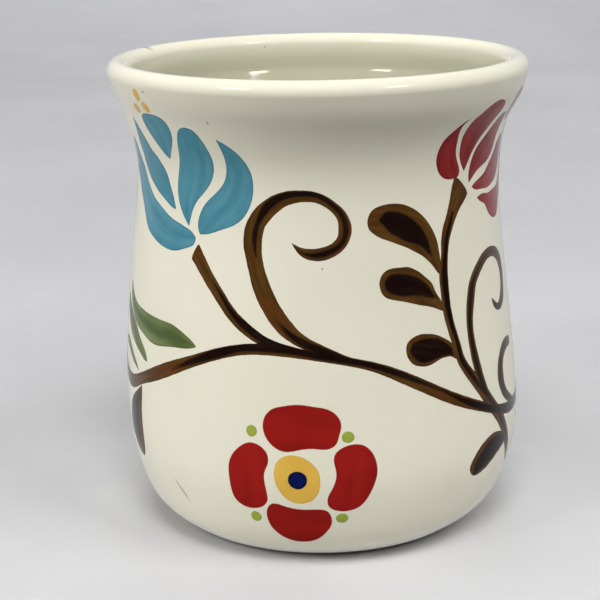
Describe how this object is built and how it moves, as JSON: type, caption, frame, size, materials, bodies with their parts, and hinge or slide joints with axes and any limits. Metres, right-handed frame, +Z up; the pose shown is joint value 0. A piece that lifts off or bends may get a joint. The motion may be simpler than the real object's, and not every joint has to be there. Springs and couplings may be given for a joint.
{
  "type": "hand-painted stoneware mug",
  "caption": "Thrown stoneware mug with a rolled flared lip, rounded belly, pulled loop handle at the back and brush-painted flowers on a cream glaze.",
  "frame": {"origin": "centre of the foot ring, on the plane the mug stands on", "axes": "+Z up along the axis of the cup, +Y out towards the handle, -Y the painted front, +X to the right of someone facing the front"},
  "size_m": [0.0928, 0.1233, 0.105],
  "materials": {
    "cream_glaze": "gloss",
    "bare_clay": "matte",
    "paint_blue": "gloss",
    "paint_red": "gloss",
    "paint_brown": "gloss",
    "paint_green": "gloss",
    "paint_lime": "gloss",
    "paint_yellow": "gloss",
    "paint_navy": "gloss"
  },
  "bodies": {
    "root": {"cup_body": "cream_glaze", "handle": "cream_glaze", "handle_joint_upper": "cream_glaze", "handle_joint_lower": "cream_glaze", "blue_petal_low": "paint_blue", "blue_petal_thin": "paint_blue", "blue_petal_bud": "paint_blue", "blue_petal_middle": "paint_blue", "blue_petal_right": "paint_blue", "yellow_dash_1": "paint_yellow", "yellow_dash_2": "paint_yellow", "yellow_dash_3": "paint_yellow", "red_petal_1": "paint_red", "red_petal_2": "paint_red", "red_petal_3": "paint_red", "red_petal_4": "paint_red", "red_petal_5": "paint_red", "red_petal_6": "paint_red", "red_stem": "paint_brown", "stem_tail": "paint_brown", "vine": "paint_brown", "blue_stem": "paint_brown", "scroll_middle": "paint_brown", "brown_leaf_upper": "paint_brown", "brown_leaf_middle": "paint_brown", "brown_leaf_lower": "paint_brown", "brown_leaf_right": "paint_brown", "brown_leaf_left": "paint_brown", "scroll_right": "paint_brown", "scroll_far": "paint_brown", "green_leaf_upper": "paint_green", "green_leaf_middle": "paint_green", "green_leaf_lower": "paint_green", "rosette_petal_top": "paint_red", "rosette_petal_left": "paint_red", "rosette_petal_bottom": "paint_red", "rosette_petal_right": "paint_red", "back_leaf_1": "paint_green", "back_leaf_2": "paint_green", "back_leaf_3": "paint_brown", "back_petal_1": "paint_blue", "back_petal_2": "paint_blue", "back_petal_3": "paint_blue", "back_vine": "paint_brown", "back_leaf_4": "paint_brown", "back_leaf_5": "paint_brown", "back_petal_4": "paint_red", "back_petal_5": "paint_red", "back_petal_6": "paint_red", "rosette_disc": "paint_yellow", "rosette_dot": "paint_navy", "green_dot_1": "paint_lime", "green_dot_2": "paint_lime", "green_dot_3": "paint_lime", "green_dot_4": "paint_lime"}
  },
  "joints": []
}
